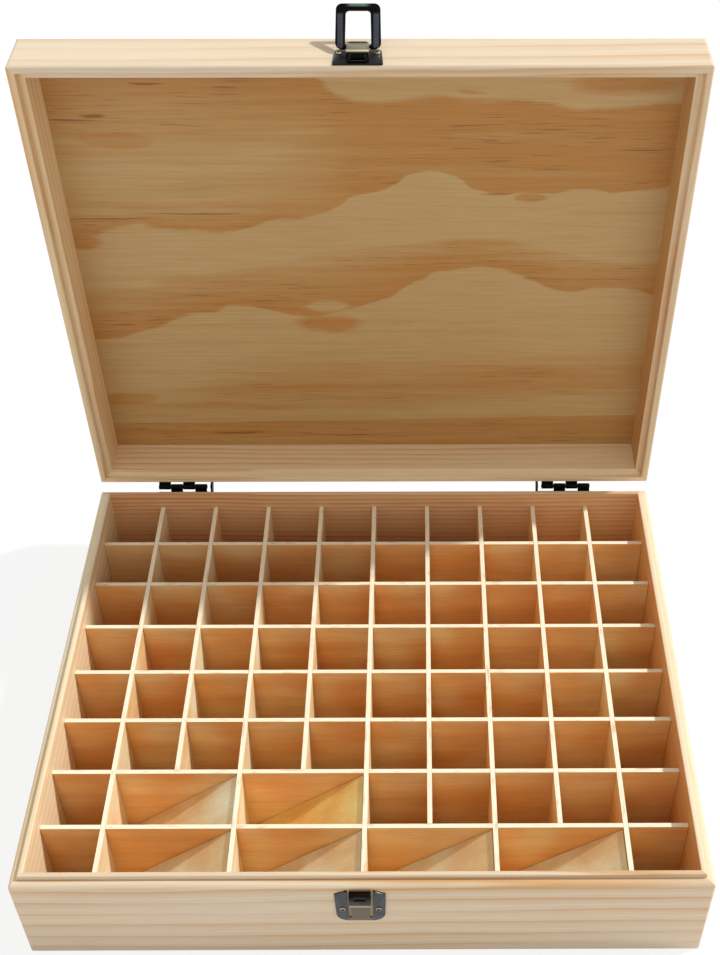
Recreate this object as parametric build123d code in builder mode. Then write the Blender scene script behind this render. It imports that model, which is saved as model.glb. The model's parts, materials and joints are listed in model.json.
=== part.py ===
from build123d import *

import os
from math import atan2, cos, degrees, hypot, pi, radians, sin

os.makedirs("parts", exist_ok=True)

# The box stands on the origin, which is the centre of its underside. X is to the right,
# Y to the back and Z up. The lid is built open, as far as its hinges let it go.

# Sizes of the box
box_width = 335.0
box_depth = 275.0
base_height = 59.0  # underside to the shelf that the lid comes down on
lid_height = 29.0
board = 7.0  # solid pine
lid_board = 7.8
corner_round = 2.0  # upright outer edges
rim_round = 2.6  # outer edge of the shelf
lid_rim_round = 1.6
lid_top_round = 2.6
edge_ease = 0.7
lid_open_angle = 88.0

# Sizes of the lip that the lid fits round
lip_thickness = 2.6
lip_height = 3.0
lip_clearance = 0.4
rim_gap = 0.3  # closed lid over the shelf

# Sizes of the plywood panels
floor_ply = 3.0
lid_ply = 3.0
panel_seat = 3.5  # width of the rabbet under each panel's edge
panel_clearance = 0.1

# Sizes of the dividers and ramps
columns = 10
rows = 8
divider_ply = 2.4
divider_drop = 7.5  # divider tops under the shelf
divider_clearance = 0.15  # at the ends of a divider
slot_clearance = 0.1  # each side of a divider in its cross-lap
ramp_ply = 3.0
ramp_drop = 1.5  # ramp's high edge under the divider tops
ramp_clearance = 0.3  # round a ramp in its cell

# Front-back dividers that stop short, each with the cross divider that it butts against
stopping_dividers = {2: 6, 4: 6, 6: 7, 8: 7}
# Wide cells: row from the back, and the first of the two columns that each one spans
wide_cells = [(7, 2), (7, 4), (8, 2), (8, 4), (8, 6), (8, 8)]

# Sizes of the hinges
hinge_inset = 50.0  # box side to the middle of the barrel
hinge_standoff = 3.0  # pin axis behind the back of the box
hinge_sheet = 0.9
hinge_pin_radius = 0.8
barrel_radius = 1.7
knuckle_length = 7.1
knuckle_gap = 0.3
leaf_reach = 15.0  # pin axis to the leaf's far edge
leaf_start = 2.1  # pin axis to the leaf's near edge
leaf_corner = 1.6
ear_offset = 16.9  # middle of the barrel to the stop ear
ear_thickness = 1.2
ear_reach = 7.6
stop_gap = 0.3  # leaf over the ear when the lid is open
screw_spread = 19.0
screw_drop = 9.3  # pin axis to the screws
pin_clearance = 0.05

# Sizes of the screws and nails
screw_head_radius = 2.1
screw_shank_radius = 0.9
screw_length = 5.6
nail_head_radius = 1.45
nail_head_height = 0.55
nail_shank_radius = 0.6
nail_length = 6.0
shank_sides = 8
fastener_clearance = 0.05

# Sizes of the latch's plate on the lid, measured up from the lid's rim
latch_aside = 1.2  # middle of the latch, left of the middle of the box
latch_sheet = 0.8
plate_low = 1.0
plate_high = 15.0
plate_low_width = 24.0
plate_high_width = 22.2
plate_corner = 2.4
plate_nail_spread = 18.4
plate_nail_up = 11.6

# Sizes of the latch's lever
lever_pivot_up = 4.8
lever_pivot_out = 3.7
lever_width = 10.8
lever_sheet = 0.7
lever_barrel_radius = 2.6
lever_barrel_start = 160.0  # where the rolled front starts and ends, round its pivot
lever_barrel_end = 215.0
lever_nose_up = 2.9  # front edge of the crown
lever_nose_round = 1.0
lever_tail_up = 16.2
lever_tail_out = 4.2
lever_bend_up = 15.0
lever_bend_out = 3.9
lever_tail_width = 9.0
lever_tail_corner = 2.2
lever_skirt_out = 1.7  # lower edge of the lever's cheeks over the lid
lever_heel = 0.9  # that edge beyond the bail's pivot
latch_pin_radius = 0.7
lug_gap = 0.3  # lever cheek to the plate's lugs
lug_radius = 1.2
lug_slot_edge = 0.4  # front of the lug slots, from the lever's pivot

# Sizes of the latch's bail
bail_pivot_up = 13.4
bail_pivot_out = 2.9
bail_width = 22.0
bail_top_width = 21.2
bail_leg = 4.7
bail_bar = 3.4
bail_sheet = 1.2
bail_lean = 40.0  # over the lid's face, as it stands open
bail_corner = 3.0
bail_window_corner = 1.8
bail_foot = 1.0  # pivot to the end of each leg
bail_roll_radius = 1.25
bail_roll_wall = 0.8  # metal beyond the end of the pin's bore
bail_gap = 0.3  # lever cheek to the bail's rolled ends
bail_pin_reach = 7.7
bail_pin_play = 0.3  # end of the pin to the end of its bore

# Sizes of the strike on the base, measured down from the shelf
strike_top = 2.0
strike_bottom = 28.7
strike_width = 24.4
strike_shoulder = 3.4  # fall of the top edge to each side
strike_low_width = 23.2
strike_corner = 6.0
strike_nail_spread = 17.3
strike_nail_down = 18.2
tongue_width = 10.5
tongue_low_width = 8.8
tongue_slit = 1.1
tongue_root = 2.6  # metal left under the slits
tongue_pad = 0.5  # pressed up from the plate
tongue_pad_top = 10.6
tongue_corner = 2.0
hook_top = 2.4
hook_end = 11.5
hook_gap = 2.4
hook_hole_width = 5.6
hook_hole_top = 3.0
hook_hole_bottom = 5.7
bar_seat = 0.7  # latched bar under the crown of the hook

# Room for every cut to run out of the metal or wood
overrun = 1.0

# Derived sizes
inner_width = box_width - 2 * board
inner_depth = box_depth - 2 * board
divider_top = base_height - divider_drop
lap_height = (floor_ply + divider_top) / 2
pitch_x = (inner_width + divider_ply) / columns
pitch_y = (inner_depth + divider_ply) / rows
lid_rim = base_height + rim_gap
lid_top = lid_rim + lid_height
hinge_y = box_depth / 2 + hinge_standoff
hinge_z = base_height + rim_gap / 2
hinge_x = box_width / 2 - hinge_inset
barrel_length = 4 * knuckle_length + 3 * knuckle_gap
hinge_out = barrel_radius - hinge_sheet

# Turning the lid about the pins takes it from closed to open
hinge_line = Location((0, hinge_y, hinge_z))
lid_swing = hinge_line * Location((0, 0, 0), (-lid_open_angle, 0, 0)) * hinge_line.inverse()
closed = Location()

sides = {
    "front": (Vector(0, 1, 0), box_width, box_depth),
    "back": (Vector(0, -1, 0), box_width, box_depth),
    "left": (Vector(1, 0, 0), box_depth, box_width),
    "right": (Vector(-1, 0, 0), box_depth, box_width),
}
up = Vector(0, 0, 1)


def carried(place, plane):
    """A plane moved along with what it belongs to."""
    return Plane(place * plane.location)


def save(part, name):
    """Label a finished piece and write its file."""
    part.label = name
    export_step(part, f"parts/{name}.step")


def side_section(side):
    """Plane across a wall: X runs in from its outer face, Y runs up."""
    inward, length, across = sides[side]
    return Plane(origin=inward * (-across / 2), x_dir=inward, z_dir=inward.cross(up))


def side_face(side):
    """Plane on a wall's outer face, with Y up and Z outwards."""
    inward, length, across = sides[side]
    outward = inward * -1
    return Plane(origin=outward * (across / 2), x_dir=up.cross(outward), z_dir=outward)


def turned(plane, outline, mode=Mode.ADD):
    """Revolve an outline of (radius, height) pairs about a plane's own Z axis."""
    section = Plane(origin=plane.origin, x_dir=plane.x_dir, z_dir=plane.y_dir * -1)
    with BuildSketch(section) as half:
        with BuildLine():
            Polyline(*outline, close=True)
        make_face()
    revolve(half.sketch, axis=Axis(plane.origin, plane.z_dir), mode=mode)


def frame_wall(side, outline, radii, thickness, low, high, pilots, place):
    """One mitred board of the base or lid, with pilot holes for what is fixed to it."""
    pilot_radius, pilot_depth = nail_pilot if side == "front" else screw_pilot
    inward, length, across = sides[side]
    along = inward.cross(up)
    outer = inward * (-across / 2)
    inner = inward * (thickness - across / 2)
    plan = [
        outer + along * (length / 2),
        outer - along * (length / 2),
        inner - along * (length / 2 - thickness),
        inner + along * (length / 2 - thickness),
    ]
    with BuildPart() as wall:
        with BuildSketch(carried(place, side_section(side))):
            with BuildLine():
                FilletPolyline(*outline, radius=radii, close=True)
            make_face()
        extrude(amount=length / 2, both=True)
        with BuildSketch(carried(place, Plane.XY.offset(low))):
            RectangleRounded(box_width, box_depth, corner_round)
            Polygon(*[(point.X, point.Y) for point in plan], align=None, mode=Mode.INTERSECT)
        extrude(amount=high - low, mode=Mode.INTERSECT)
        if pilots:
            with BuildSketch(carried(place, side_face(side))):
                with Locations(*pilots):
                    RegularPolygon(pilot_radius, shank_sides)
            extrude(amount=-pilot_depth, mode=Mode.SUBTRACT)
    return wall.part


# Fasteners


def shank(plane, radius, top, length):
    """Many-sided shank down a plane's own Z axis, from a height over the plane."""
    with BuildSketch(plane.offset(top)) as section:
        RegularPolygon(radius, shank_sides)
    extrude(section.sketch, amount=-(top + length))


def screw(plane):
    """Countersunk screw, standing in a leaf on the wood's face."""
    turned(
        plane,
        [(0, hinge_sheet), (screw_head_radius, hinge_sheet), (screw_shank_radius, 0), (0, 0)],
    )
    shank(plane, screw_shank_radius, 0, screw_length)


def nail(plane):
    """Round nail driven through the latch's sheet."""
    top = latch_sheet + nail_head_height
    turned(
        plane,
        [
            (0, top),
            (nail_head_radius - nail_head_height / 3, top),
            (nail_head_radius, latch_sheet),
            (0, latch_sheet),
        ],
    )
    shank(plane, nail_shank_radius, latch_sheet, nail_length)


# Where the hinges, the latch and their fasteners stand

hinge_frames = {
    "left": Plane(origin=(-hinge_x, hinge_y, hinge_z), x_dir=(1, 0, 0), z_dir=(0, 1, 0)),
    "right": Plane(origin=(hinge_x, hinge_y, hinge_z), x_dir=(-1, 0, 0), z_dir=(0, 1, 0)),
}
leaf_side = {"left": {"base": 1, "lid": -1}, "right": {"base": -1, "lid": 1}}
screw_spots = [-screw_spread / 2, screw_spread / 2]


def screw_planes(body):
    """Planes on the wood behind each screw of one body's two leaves."""
    place = lid_swing if body == "lid" else closed
    planes = []
    for side, frame in hinge_frames.items():
        away = leaf_side[side][body]
        for spot in screw_spots:
            local = frame.offset(-hinge_standoff).location * Location((spot, away * screw_drop, 0))
            planes.append(carried(place, Plane(local)))
    return planes


def back_pilots(direction):
    """Pilot holes in a back wall, in that wall's own face plane, where X runs to the left."""
    return [
        (-side * hinge_x + spot, hinge_z + direction * screw_drop)
        for side in (-1, 1)
        for spot in screw_spots
    ]


latch_middle = (-latch_aside, -box_depth / 2, 0)
front_plane = Plane(origin=latch_middle, x_dir=(1, 0, 0), z_dir=(0, -1, 0))
front_section = Plane(origin=latch_middle, x_dir=(0, 0, 1), z_dir=(1, 0, 0))
base_front = carried(Location((0, 0, base_height)), front_plane)
base_profile = carried(Location((0, 0, base_height)), front_section)
lid_front = carried(lid_swing * Location((0, 0, lid_rim)), front_plane)
lid_profile = carried(lid_swing * Location((0, 0, lid_rim)), front_section)

plate_nails = [(side * plate_nail_spread / 2, plate_nail_up) for side in (-1, 1)]
strike_nails = [(side * strike_nail_spread / 2, -strike_nail_down) for side in (-1, 1)]

# Base walls

seat_x = board - panel_seat
lip_x = board - lip_thickness
base_outline = [
    (0, 0),
    (0, base_height),
    (lip_x, base_height),
    (lip_x, base_height + lip_height),
    (board, base_height + lip_height),
    (board, floor_ply),
    (seat_x, floor_ply),
    (seat_x, 0),
]
base_radii = [edge_ease, rim_round, 0, edge_ease, edge_ease, 0, 0, 0]
base_pilots = {
    "front": [(x - latch_aside, base_height + z) for x, z in strike_nails],
    "back": back_pilots(-1),
    "left": [],
    "right": [],
}
nail_bore = nail_shank_radius + fastener_clearance
screw_bore = screw_shank_radius + fastener_clearance
nail_pilot = (nail_bore, nail_length + fastener_clearance)
screw_pilot = (screw_bore, screw_length + fastener_clearance)

for side in sides:
    wall = frame_wall(
        side,
        base_outline,
        base_radii,
        board,
        0,
        base_height + lip_height,
        base_pilots[side],
        closed,
    )
    save(wall, f"base_{side}_wall")

with BuildPart() as base_floor:
    with BuildSketch(Plane.XY):
        Rectangle(
            box_width - 2 * (seat_x + panel_clearance),
            box_depth - 2 * (seat_x + panel_clearance),
        )
    extrude(amount=floor_ply)
save(base_floor.part, "base_floor_panel")

# Dividers, notched into each other


def divider_x(number):
    """Middle of a front-back divider, counted from the left."""
    return -inner_width / 2 + number * pitch_x - divider_ply / 2


def divider_y(number):
    """Middle of a cross divider, counted from the back."""
    return inner_depth / 2 - number * pitch_y + divider_ply / 2


def crosses(long_number, cross_number):
    """Whether a front-back divider runs through a cross divider."""
    return cross_number < stopping_dividers.get(long_number, rows)


slot_width = divider_ply + 2 * slot_clearance
divider_height = divider_top - floor_ply
slot_height = divider_height / 2 + slot_clearance / 2

for number in range(1, columns):
    back_end = inner_depth / 2 - divider_clearance
    front_end = divider_clearance - inner_depth / 2
    if number in stopping_dividers:
        stop = divider_y(stopping_dividers[number])
        front_end = stop + divider_ply / 2 + divider_clearance
    with BuildPart() as divider:
        with BuildSketch(Plane.YZ.offset(divider_x(number))):
            with Locations(((back_end + front_end) / 2, lap_height)):
                Rectangle(back_end - front_end, divider_height)
            slots = [(divider_y(cross), floor_ply) for cross in range(1, rows) if crosses(number, cross)]
            with Locations(*slots):
                Rectangle(slot_width, 2 * slot_height, mode=Mode.SUBTRACT)
        extrude(amount=divider_ply / 2, both=True)
    save(divider.part, f"long_divider_{number}")

for number in range(1, rows):
    with BuildPart() as divider:
        with BuildSketch(Plane.XZ.offset(-divider_y(number))):
            with Locations((0, lap_height)):
                Rectangle(inner_width - 2 * divider_clearance, divider_height)
            slots = [(divider_x(long), divider_top) for long in range(1, columns) if crosses(long, number)]
            with Locations(*slots):
                Rectangle(slot_width, 2 * slot_height, mode=Mode.SUBTRACT)
        extrude(amount=divider_ply / 2, both=True)
    save(divider.part, f"cross_divider_{number}")

# Ramps for roller bottles, one in each wide cell, falling to the left

for number, (row, first) in enumerate(wide_cells, start=1):
    left = divider_x(first - 1) + divider_ply / 2 + ramp_clearance
    right = divider_x(first + 1) - divider_ply / 2 - ramp_clearance
    back = divider_y(row - 1) - divider_ply / 2 - ramp_clearance
    front = divider_y(row) + divider_ply / 2 + ramp_clearance
    high = divider_top - ramp_drop
    slope = atan2(high - floor_ply, right - left)
    with BuildPart() as ramp:
        with BuildSketch(Plane.XZ.offset(-(back + front) / 2)):
            with BuildLine():
                Polyline(
                    (left, floor_ply),
                    (right, high),
                    (right, high - ramp_ply / cos(slope)),
                    (left + ramp_ply / sin(slope), floor_ply),
                    close=True,
                )
            make_face()
        extrude(amount=(back - front) / 2, both=True)
    save(ramp.part, f"ramp_{number}")

# Lid walls and panel

lid_lip_x = lip_x - lip_clearance
lid_lip_z = lid_rim + lip_height + lip_clearance
panel_z = lid_top - lid_ply
lid_seat_x = lid_board - panel_seat
lid_outline = [
    (0, lid_rim),
    (0, lid_top),
    (lid_seat_x, lid_top),
    (lid_seat_x, panel_z),
    (lid_board, panel_z),
    (lid_board, lid_lip_z),
    (lid_lip_x, lid_lip_z),
    (lid_lip_x, lid_rim),
]
lid_radii = [lid_rim_round, lid_top_round, 0, 0, 0, edge_ease, 0, edge_ease]
lid_pilots = {
    "front": [(x - latch_aside, lid_rim + z) for x, z in plate_nails],
    "back": back_pilots(1),
    "left": [],
    "right": [],
}
for side in sides:
    wall = frame_wall(
        side,
        lid_outline,
        lid_radii,
        lid_board,
        lid_rim,
        lid_top,
        lid_pilots[side],
        lid_swing,
    )
    save(wall, f"lid_{side}_wall")

with BuildPart() as lid_panel:
    with BuildSketch(carried(lid_swing, Plane.XY.offset(panel_z))):
        Rectangle(
            box_width - 2 * (lid_seat_x + panel_clearance),
            box_depth - 2 * (lid_seat_x + panel_clearance),
        )
    extrude(amount=lid_ply)
save(lid_panel.part, "lid_panel")

# Hinges. Each frame has X along the pin, Y down the leaf with the ear, and Z away from the wood.

ear_end = ear_offset + ear_thickness
leaf_face = hinge_sheet - hinge_standoff
knuckle_pitch = knuckle_length + knuckle_gap


def knuckle_middle(number):
    """Middle of a knuckle along the pin, counted from the end without the ear."""
    return (number + 1 / 2) * knuckle_pitch - (barrel_length + knuckle_gap) / 2


sink_radius = screw_head_radius + fastener_clearance
countersink = [
    (0, hinge_sheet + overrun),
    (sink_radius, hinge_sheet + overrun),
    (sink_radius, hinge_sheet),
    (screw_bore, 0),
    (screw_bore, -overrun),
    (0, -overrun),
]


def hinge_leaf(frame, away, knuckles, ear):
    """A rolled sheet leaf on one side of the pin, with two countersunk holes."""
    section = Plane(origin=frame.origin, x_dir=frame.y_dir * away, z_dir=frame.x_dir * -away)
    length = barrel_length / 2 + ear_end
    with BuildPart() as leaf:
        with BuildSketch(frame.offset(-hinge_standoff)):
            middle = (ear_end - barrel_length / 2) / 2
            with Locations((middle, away * (leaf_start + leaf_reach) / 2)):
                RectangleRounded(length, leaf_reach - leaf_start, leaf_corner)
            with Locations((middle, away * (3 * leaf_start + leaf_reach) / 4)):
                Rectangle(length, (leaf_reach - leaf_start) / 2)
        extrude(amount=hinge_sheet)
        for knuckle in knuckles:
            roll = Plane(
                origin=frame.from_local_coords(Vector(knuckle_middle(knuckle), 0, 0)),
                x_dir=section.x_dir,
                z_dir=section.z_dir,
            )
            rise = section.y_dir.dot(frame.z_dir)
            with BuildSketch(roll):
                Circle(barrel_radius)
                with BuildLine():
                    Polyline(
                        (leaf_start, -hinge_standoff * rise),
                        (leaf_start + 2 * hinge_sheet, -hinge_standoff * rise),
                        (leaf_start + 2 * hinge_sheet, leaf_face * rise),
                        (hinge_sheet, -hinge_out * rise),
                        (0, -hinge_out * rise),
                        (0, -barrel_radius * rise),
                        close=True,
                    )
                make_face()
            extrude(amount=knuckle_length / 2, both=True)
            with BuildSketch(roll):
                Circle(hinge_pin_radius + pin_clearance)
            extrude(amount=knuckle_length, both=True, mode=Mode.SUBTRACT)
        if ear:
            stop_edge = -(hinge_standoff - hinge_sheet - stop_gap)
            ear_plane = Plane(
                origin=frame.from_local_coords(Vector(ear_offset, 0, 0)),
                x_dir=frame.y_dir,
                z_dir=frame.x_dir,
            )
            out = ear_plane.y_dir.dot(frame.z_dir)
            face = leaf_face * out
            with BuildSketch(ear_plane):
                with BuildLine():
                    Line((leaf_start, face), (leaf_start, (leaf_face + stop_gap) * out))
                    Line(
                        (leaf_start, (leaf_face + stop_gap) * out),
                        (stop_edge, (leaf_face + stop_gap) * out),
                    )
                    Line(
                        (stop_edge, (leaf_face + stop_gap) * out),
                        (stop_edge, (leaf_face + ear_reach) * out),
                    )
                    ThreePointArc(
                        (stop_edge, (leaf_face + ear_reach) * out),
                        (
                            stop_edge + ear_reach * sin(pi / 4),
                            (leaf_face + ear_reach * cos(pi / 4)) * out,
                        ),
                        (stop_edge + ear_reach, face),
                    )
                    Line((stop_edge + ear_reach, face), (leaf_start, face))
                make_face()
            extrude(amount=ear_thickness)
        for spot in screw_spots:
            local = frame.offset(-hinge_standoff).location * Location((spot, away * screw_drop, 0))
            turned(Plane(local), countersink, mode=Mode.SUBTRACT)
    return leaf.part


for side, frame in hinge_frames.items():
    for body, place in (("base", closed), ("lid", lid_swing)):
        away = leaf_side[side][body]
        with_ear = away > 0
        knuckles = (1, 3) if with_ear else (0, 2)
        leaf = hinge_leaf(carried(place, frame), away, knuckles, with_ear)
        save(leaf, f"{side}_hinge_{body}_leaf")
    with BuildPart() as hinge_pin:
        with BuildSketch(Plane(origin=frame.origin, x_dir=frame.y_dir, z_dir=frame.x_dir)):
            Circle(hinge_pin_radius)
        extrude(amount=barrel_length / 2 + knuckle_gap, both=True)
    save(hinge_pin.part, f"{side}_hinge_pin")

for body in ("base", "lid"):
    with BuildPart() as screws:
        for plane in screw_planes(body):
            screw(plane)
    save(screws.part, f"hinge_screws_{body}")

# Latch plate, with two lugs bent up for the lever's pin

cheek_inside = lever_width / 2 - lever_sheet
lug_outside = cheek_inside - lug_gap
lug_inside = lug_outside - latch_sheet

with BuildPart() as latch_plate:
    with BuildSketch(lid_front):
        with BuildLine():
            FilletPolyline(
                (-plate_low_width / 2, plate_low),
                (plate_low_width / 2, plate_low),
                (plate_high_width / 2, plate_high),
                (-plate_high_width / 2, plate_high),
                radius=[edge_ease, edge_ease, plate_corner, plate_corner],
                close=True,
            )
        make_face()
        with Locations(*plate_nails):
            RegularPolygon(nail_bore, shank_sides, mode=Mode.SUBTRACT)
        with Locations((0, lever_pivot_up)):
            Rectangle(2 * lug_inside, 2 * lug_radius, mode=Mode.SUBTRACT)
    extrude(amount=latch_sheet)
    for turn in (-1, 1):
        with BuildSketch(lid_profile.offset(turn * (lug_inside + latch_sheet / 2))):
            with Locations((lever_pivot_up, lever_pivot_out)):
                Circle(lug_radius)
            with Locations((lever_pivot_up, lever_pivot_out / 2)):
                Rectangle(2 * lug_radius, lever_pivot_out)
            with Locations((lever_pivot_up, lever_pivot_out)):
                Circle(latch_pin_radius + pin_clearance, mode=Mode.SUBTRACT)
        extrude(amount=latch_sheet / 2, both=True)
save(latch_plate.part, "latch_plate")

with BuildPart() as latch_lever_pin:
    with BuildSketch(lid_profile):
        with Locations((lever_pivot_up, lever_pivot_out)):
            Circle(latch_pin_radius)
    extrude(amount=lever_width / 2, both=True)
save(latch_lever_pin.part, "latch_lever_pin")

# Lever, a folded sheet with a rolled front, two cheeks and a turned-up tail. The front is slotted
# where the lugs pass through it as the lever lifts.

lug_slot_width = cheek_inside - lug_inside + lug_gap
lug_slot_middle = cheek_inside - lug_slot_width / 2
lever_crown_out = lever_pivot_out + lever_barrel_radius


def lever_outline(shrink, drop):
    """Side view of the lever's outside, or of its hollow when shrunk by the sheet."""
    radius = lever_barrel_radius - shrink
    turns = (lever_barrel_end, (lever_barrel_end + lever_barrel_start) / 2, lever_barrel_start)
    end, front, start = [
        (
            lever_pivot_up + radius * cos(radians(turn)),
            lever_pivot_out + radius * sin(radians(turn)),
        )
        for turn in turns
    ]
    nose = (lever_nose_up + shrink, lever_crown_out - shrink)
    crown = (lever_pivot_up, lever_crown_out - shrink)
    bend = (lever_bend_up, lever_bend_out - shrink)
    skirt = lever_skirt_out - drop
    ThreePointArc(end, front, start)
    FilletPolyline(start, nose, crown, radius=lever_nose_round - shrink)
    Line(crown, bend)
    return end, bend, skirt


with BuildPart() as latch_lever:
    with BuildSketch(lid_profile):
        with BuildLine():
            end, bend, skirt = lever_outline(0, 0)
            Polyline(
                bend,
                (lever_tail_up, lever_tail_out),
                (lever_tail_up, lever_tail_out - lever_sheet),
                (lever_bend_up, lever_bend_out - lever_sheet),
                (bail_pivot_up + lever_heel, skirt),
                (lever_pivot_up, skirt),
                end,
            )
        make_face()
    extrude(amount=lever_width / 2, both=True)
    with BuildSketch(lid_profile):
        with BuildLine():
            end, bend, skirt = lever_outline(lever_sheet, overrun)
            Polyline(
                bend,
                (lever_bend_up + overrun, lever_bend_out - lever_sheet),
                (lever_bend_up + overrun, skirt),
                (end[0], skirt),
                end,
            )
        make_face()
    extrude(amount=cheek_inside, both=True, mode=Mode.SUBTRACT)
    with BuildSketch(lid_front):
        with BuildLine():
            FilletPolyline(
                (-lever_width / 2, lever_pivot_up - lever_barrel_radius),
                (lever_width / 2, lever_pivot_up - lever_barrel_radius),
                (lever_width / 2, bail_pivot_up + lever_heel),
                (lever_tail_width / 2, lever_tail_up),
                (-lever_tail_width / 2, lever_tail_up),
                (-lever_width / 2, bail_pivot_up + lever_heel),
                radius=[0, 0, edge_ease, lever_tail_corner, lever_tail_corner, edge_ease],
                close=True,
            )
        make_face()
    extrude(amount=lever_crown_out + overrun, mode=Mode.INTERSECT)
    with BuildSketch(lid_front):
        for turn in (-1, 1):
            with Locations((turn * lug_slot_middle, lever_pivot_up - lever_barrel_radius)):
                Rectangle(lug_slot_width, 2 * (lever_barrel_radius - lug_slot_edge))
    extrude(amount=lever_crown_out - lever_sheet, mode=Mode.SUBTRACT)
    with BuildSketch(lid_profile):
        with Locations((lever_pivot_up, lever_pivot_out), (bail_pivot_up, bail_pivot_out)):
            Circle(latch_pin_radius + pin_clearance)
    extrude(amount=lever_width, both=True, mode=Mode.SUBTRACT)
save(latch_lever.part, "latch_lever")

# Bail. Its frame is drawn flat, with Y from its pivot towards the bar.

hook_thickness = latch_sheet
hook_out = latch_sheet + hook_gap / 2
bar_top_down = hook_top + hook_thickness + bar_seat
bar_down = bar_top_down + bail_bar / 2
latched_rise = lid_rim + bail_pivot_up - base_height + bar_down
latched_fall = bail_pivot_out - hook_out
bail_length = hypot(latched_rise, latched_fall)
latched_angle = 180 + degrees(atan2(latched_fall, latched_rise))
bail_end = bail_length + bail_bar / 2
bore_end = bail_pin_reach + bail_pin_play
roll_inside = lever_width / 2 + bail_gap
roll_length = bore_end + bail_roll_wall - roll_inside

bail_pivot = lid_front.location * Location((0, bail_pivot_up, bail_pivot_out))
bail_flat = Plane(bail_pivot * Location((0, 0, 0), (bail_lean, 0, 0)))
bail_side = Plane(origin=bail_flat.origin, x_dir=bail_flat.y_dir, z_dir=bail_flat.x_dir)

with BuildPart() as latch_bail:
    with BuildSketch(bail_flat.offset(-bail_sheet / 2)):
        with BuildLine():
            FilletPolyline(
                (-bail_width / 2, -bail_foot),
                (bail_width / 2, -bail_foot),
                (bail_top_width / 2, bail_end),
                (-bail_top_width / 2, bail_end),
                radius=bail_corner,
                close=True,
            )
        make_face()
        with BuildLine():
            FilletPolyline(
                (bail_leg - bail_width / 2, -bail_foot - overrun),
                (bail_width / 2 - bail_leg, -bail_foot - overrun),
                (bail_top_width / 2 - bail_leg, bail_end - bail_bar),
                (bail_leg - bail_top_width / 2, bail_end - bail_bar),
                radius=[0, 0, bail_window_corner, bail_window_corner],
                close=True,
            )
        make_face(mode=Mode.SUBTRACT)
    extrude(amount=bail_sheet)
    for turn in (-1, 1):
        with BuildSketch(bail_side.offset(turn * (roll_inside + roll_length / 2))):
            Circle(bail_roll_radius)
        extrude(amount=roll_length / 2, both=True)
    with BuildSketch(bail_side):
        Circle(latch_pin_radius + pin_clearance)
    extrude(amount=bore_end, both=True, mode=Mode.SUBTRACT)
save(latch_bail.part, "latch_bail")

with BuildPart() as latch_bail_pin:
    with BuildSketch(bail_side):
        Circle(latch_pin_radius)
    extrude(amount=bail_pin_reach, both=True)
save(latch_bail_pin.part, "latch_bail_pin")

# Strike, a pressed plate whose middle tongue rises and folds over into a hook

pad_bottom = strike_bottom - tongue_root / 2

with BuildPart() as latch_strike:
    with BuildSketch(base_front):
        with BuildLine():
            FilletPolyline(
                (-tongue_width / 2, -strike_top),
                (tongue_width / 2, -strike_top),
                (strike_width / 2, -strike_top - strike_shoulder),
                (strike_low_width / 2, -strike_bottom),
                (-strike_low_width / 2, -strike_bottom),
                (-strike_width / 2, -strike_top - strike_shoulder),
                radius=[0, 0, edge_ease, strike_corner, strike_corner, edge_ease],
                close=True,
            )
        make_face()
        for turn in (-1, 1):
            with BuildLine():
                Polyline(
                    (turn * tongue_width / 2, overrun - strike_top),
                    (turn * (tongue_width / 2 + tongue_slit), overrun - strike_top),
                    (turn * (tongue_low_width / 2 + tongue_slit), tongue_root - strike_bottom),
                    (turn * tongue_low_width / 2, tongue_root - strike_bottom),
                    close=True,
                )
            make_face(mode=Mode.SUBTRACT)
        with Locations((0, -strike_top)):
            Rectangle(tongue_width, 2 * (hook_top + hook_out - strike_top), mode=Mode.SUBTRACT)
        with Locations(*strike_nails):
            RegularPolygon(nail_bore, shank_sides, mode=Mode.SUBTRACT)
    extrude(amount=latch_sheet)
    with BuildSketch(base_front.offset(latch_sheet)):
        with BuildLine():
            FilletPolyline(
                (-tongue_width / 2, -tongue_pad_top),
                (tongue_width / 2, -tongue_pad_top),
                (tongue_low_width / 2, -pad_bottom),
                (-tongue_low_width / 2, -pad_bottom),
                radius=[0, 0, tongue_corner, tongue_corner],
                close=True,
            )
        make_face()
    extrude(amount=tongue_pad)
    fold_down = hook_top + hook_gap / 2 + hook_thickness
    fold_inner = hook_gap / 2
    fold_outer = fold_inner + hook_thickness
    with BuildSketch(base_profile):
        with BuildLine():
            ThreePointArc(
                (-fold_down, hook_out - fold_outer),
                (-fold_down + fold_outer, hook_out),
                (-fold_down, hook_out + fold_outer),
            )
            Polyline(
                (-fold_down, hook_out + fold_outer),
                (-hook_end, hook_out + fold_outer),
                (-hook_end, hook_out + fold_inner),
                (-fold_down, hook_out + fold_inner),
            )
            ThreePointArc(
                (-fold_down, hook_out + fold_inner),
                (-fold_down + fold_inner, hook_out),
                (-fold_down, hook_out - fold_inner),
            )
            Polyline(
                (-fold_down, hook_out - fold_inner),
                (-hook_end, hook_out - fold_inner),
                (-hook_end, hook_out - fold_outer),
                (-fold_down, hook_out - fold_outer),
            )
        make_face()
    extrude(amount=tongue_width / 2, both=True)
    with BuildSketch(base_front.offset(hook_out)):
        with Locations((0, -(hook_hole_top + hook_hole_bottom) / 2)):
            Rectangle(hook_hole_width, hook_hole_bottom - hook_hole_top)
    extrude(amount=fold_outer + overrun, mode=Mode.SUBTRACT)
save(latch_strike.part, "latch_strike")

# Nails of the latch

for name, frame, spots in (
    ("latch_plate_nails", lid_front, plate_nails),
    ("latch_strike_nails", base_front, strike_nails),
):
    with BuildPart() as nails:
        for x, y in spots:
            nail(Plane(frame.location * Location((x, y, 0))))
    save(nails.part, name)

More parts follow.
